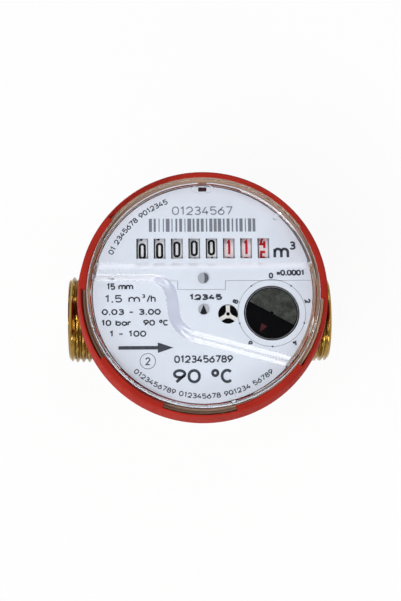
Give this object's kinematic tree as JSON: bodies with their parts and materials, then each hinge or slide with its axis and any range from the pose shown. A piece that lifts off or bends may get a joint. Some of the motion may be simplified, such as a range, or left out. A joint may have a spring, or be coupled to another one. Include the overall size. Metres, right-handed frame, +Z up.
{
  "type": "water meter",
  "caption": "Single-jet dry-dial water meter: brass body with two threaded pipe ends, red locking collar, clear cover, number-wheel counter, pointer disc and flow star.",
  "frame": {"origin": "centre of the flat base under the impeller's axis", "axes": "+X along the pipe from inlet to outlet, +Y to the counter's side (12 o'clock on the dial), +Z up out of the dial"},
  "size_m": [0.08, 0.072, 0.0605],
  "materials": {
    "brass": "machined",
    "red_plastic": "moulded, satin gloss",
    "tan_plastic": "moulded",
    "clear_plastic": "clear, polished",
    "white_plastic": "moulded",
    "cream_plastic": "moulded",
    "black_plastic": "moulded",
    "steel": "turned",
    "foil": "foil",
    "magnet": "ferrite",
    "rubber": "moulded",
    "dial_white": "printed white lacquer"
  },
  "bodies": {
    "meter": {"body": "brass", "inlet_strainer": "white_plastic", "lower_pivot": "black_plastic", "pressure_plate": "brass", "plate_seal": "rubber", "clamp_ring": "brass", "collar": "red_plastic"},
    "impeller": {"impeller": "white_plastic", "impeller_pin": "steel", "impeller_magnet": "magnet"},
    "register": {"register_case": "tan_plastic", "case_seal": "rubber", "clear_cover": "clear_plastic", "magnet_shield": "steel", "mechanism_frame": "black_plastic", "bridge_plate": "black_plastic", "bridge_screws": "steel", "counter_shaft": "steel", "carry_shaft": "steel", "dial_upper": "dial_white", "dial_lower": "dial_white", "dial_pins": "steel"},
    "follower": {"follower": "white_plastic", "follower_magnet": "magnet"},
    "star": {"star_arbor": "white_plastic", "flow_star": "steel"},
    "reduction": {"reduction_arbor": "white_plastic"},
    "disc": {"disc_arbor": "white_plastic", "counter_worm": "cream_plastic", "pointer_disc": "black_plastic", "disc_foil": "foil"},
    "lay": {"lay_shaft": "white_plastic"},
    "idler": {"idler_wheel": "white_plastic"},
    "wheel_1": {"number_wheel_1": "white_plastic"},
    "wheel_2": {"number_wheel_2": "white_plastic"},
    "wheel_3": {"number_wheel_3": "white_plastic"},
    "wheel_4": {"number_wheel_4": "white_plastic"},
    "wheel_5": {"number_wheel_5": "white_plastic"},
    "wheel_6": {"number_wheel_6": "white_plastic"},
    "wheel_7": {"number_wheel_7": "white_plastic"},
    "wheel_8": {"number_wheel_8": "white_plastic"},
    "pinion_1": {"carry_pinion_1": "cream_plastic"},
    "pinion_2": {"carry_pinion_2": "cream_plastic"},
    "pinion_3": {"carry_pinion_3": "cream_plastic"},
    "pinion_4": {"carry_pinion_4": "cream_plastic"},
    "pinion_5": {"carry_pinion_5": "cream_plastic"},
    "pinion_6": {"carry_pinion_6": "cream_plastic"},
    "pinion_7": {"carry_pinion_7": "cream_plastic"}
  },
  "joints": [
    {"name": "register_swivel", "type": "hinge", "parent": "meter", "child": "register", "pos_m": [0, 0, 0.0353], "axis": [0, 0, 1], "range_deg": [-175, 175]},
    {"name": "impeller_spin", "type": "hinge", "parent": "meter", "child": "impeller", "pos_m": [0, 0, 0.015], "axis": [0, 0, 1], "continuous": true},
    {"name": "follower_spin", "type": "hinge", "parent": "register", "child": "follower", "pos_m": [0, 0, 0.042], "axis": [0, 0, 1], "continuous": true},
    {"name": "star_spin", "type": "hinge", "parent": "register", "child": "star", "pos_m": [0.00687, -0.00581, 0.042], "axis": [0, 0, 1], "continuous": true},
    {"name": "reduction_spin", "type": "hinge", "parent": "register", "child": "reduction", "pos_m": [0.01393, -0.0114, 0.042], "axis": [0, 0, 1], "continuous": true},
    {"name": "disc_spin", "type": "hinge", "parent": "register", "child": "disc", "pos_m": [0.01926, -0.0056, 0.047], "axis": [0, 0, 1], "continuous": true},
    {"name": "lay_spin", "type": "hinge", "parent": "register", "child": "lay", "pos_m": [0.01926, -0.0004, 0.04873], "axis": [1, 0, 0], "continuous": true},
    {"name": "idler_spin", "type": "hinge", "parent": "register", "child": "idler", "pos_m": [0.021, 0.0061, 0.04614], "axis": [1, 0, 0], "continuous": true},
    {"name": "wheel_1_spin", "type": "hinge", "parent": "register", "child": "wheel_1", "pos_m": [-0.01725, 0.0131, 0.046], "axis": [1, 0, 0], "continuous": true},
    {"name": "wheel_2_spin", "type": "hinge", "parent": "register", "child": "wheel_2", "pos_m": [-0.01232, 0.0131, 0.046], "axis": [1, 0, 0], "continuous": true},
    {"name": "wheel_3_spin", "type": "hinge", "parent": "register", "child": "wheel_3", "pos_m": [-0.00739, 0.0131, 0.046], "axis": [1, 0, 0], "continuous": true},
    {"name": "wheel_4_spin", "type": "hinge", "parent": "register", "child": "wheel_4", "pos_m": [-0.00247, 0.0131, 0.046], "axis": [1, 0, 0], "continuous": true},
    {"name": "wheel_5_spin", "type": "hinge", "parent": "register", "child": "wheel_5", "pos_m": [0.00247, 0.0131, 0.046], "axis": [1, 0, 0], "continuous": true},
    {"name": "wheel_6_spin", "type": "hinge", "parent": "register", "child": "wheel_6", "pos_m": [0.00739, 0.0131, 0.046], "axis": [1, 0, 0], "continuous": true},
    {"name": "wheel_7_spin", "type": "hinge", "parent": "register", "child": "wheel_7", "pos_m": [0.01232, 0.0131, 0.046], "axis": [1, 0, 0], "continuous": true},
    {"name": "wheel_8_spin", "type": "hinge", "parent": "register", "child": "wheel_8", "pos_m": [0.01725, 0.0131, 0.046], "axis": [1, 0, 0], "continuous": true},
    {"name": "pinion_1_spin", "type": "hinge", "parent": "register", "child": "pinion_1", "pos_m": [-0.01479, 0.02159, 0.0411], "axis": [1, 0, 0], "continuous": true},
    {"name": "pinion_2_spin", "type": "hinge", "parent": "register", "child": "pinion_2", "pos_m": [-0.00986, 0.02159, 0.0411], "axis": [1, 0, 0], "continuous": true},
    {"name": "pinion_3_spin", "type": "hinge", "parent": "register", "child": "pinion_3", "pos_m": [-0.00493, 0.02159, 0.0411], "axis": [1, 0, 0], "continuous": true},
    {"name": "pinion_4_spin", "type": "hinge", "parent": "register", "child": "pinion_4", "pos_m": [0, 0.02159, 0.0411], "axis": [1, 0, 0], "continuous": true},
    {"name": "pinion_5_spin", "type": "hinge", "parent": "register", "child": "pinion_5", "pos_m": [0.00493, 0.02159, 0.0411], "axis": [1, 0, 0], "continuous": true},
    {"name": "pinion_6_spin", "type": "hinge", "parent": "register", "child": "pinion_6", "pos_m": [0.00986, 0.02159, 0.0411], "axis": [1, 0, 0], "continuous": true},
    {"name": "pinion_7_spin", "type": "hinge", "parent": "register", "child": "pinion_7", "pos_m": [0.01479, 0.02159, 0.0411], "axis": [1, 0, 0], "continuous": true}
  ],
  "couplings": [
    {"joint": "follower_spin", "follows": "impeller_spin", "ratio": 1},
    {"joint": "star_spin", "follows": "impeller_spin", "ratio": -0.25},
    {"joint": "reduction_spin", "follows": "impeller_spin", "ratio": 0.083333},
    {"joint": "disc_spin", "follows": "impeller_spin", "ratio": -0.033333},
    {"joint": "lay_spin", "follows": "impeller_spin", "ratio": -0.0033333},
    {"joint": "idler_spin", "follows": "impeller_spin", "ratio": 0.002807},
    {"joint": "wheel_1_spin", "follows": "impeller_spin", "ratio": -0.00000000033333},
    {"joint": "wheel_2_spin", "follows": "impeller_spin", "ratio": -0.0000000033333},
    {"joint": "wheel_3_spin", "follows": "impeller_spin", "ratio": -0.000000033333},
    {"joint": "wheel_4_spin", "follows": "impeller_spin", "ratio": -0.00000033333},
    {"joint": "wheel_5_spin", "follows": "impeller_spin", "ratio": -0.0000033333},
    {"joint": "wheel_6_spin", "follows": "impeller_spin", "ratio": -0.000033333},
    {"joint": "wheel_7_spin", "follows": "impeller_spin", "ratio": -0.00033333},
    {"joint": "wheel_8_spin", "follows": "impeller_spin", "ratio": -0.0033333},
    {"joint": "pinion_1_spin", "follows": "impeller_spin", "ratio": 0.00000000083333},
    {"joint": "pinion_2_spin", "follows": "impeller_spin", "ratio": 0.0000000083333},
    {"joint": "pinion_3_spin", "follows": "impeller_spin", "ratio": 0.000000083333},
    {"joint": "pinion_4_spin", "follows": "impeller_spin", "ratio": 0.00000083333},
    {"joint": "pinion_5_spin", "follows": "impeller_spin", "ratio": 0.0000083333},
    {"joint": "pinion_6_spin", "follows": "impeller_spin", "ratio": 0.000083333},
    {"joint": "pinion_7_spin", "follows": "impeller_spin", "ratio": 0.00083333}
  ]
}
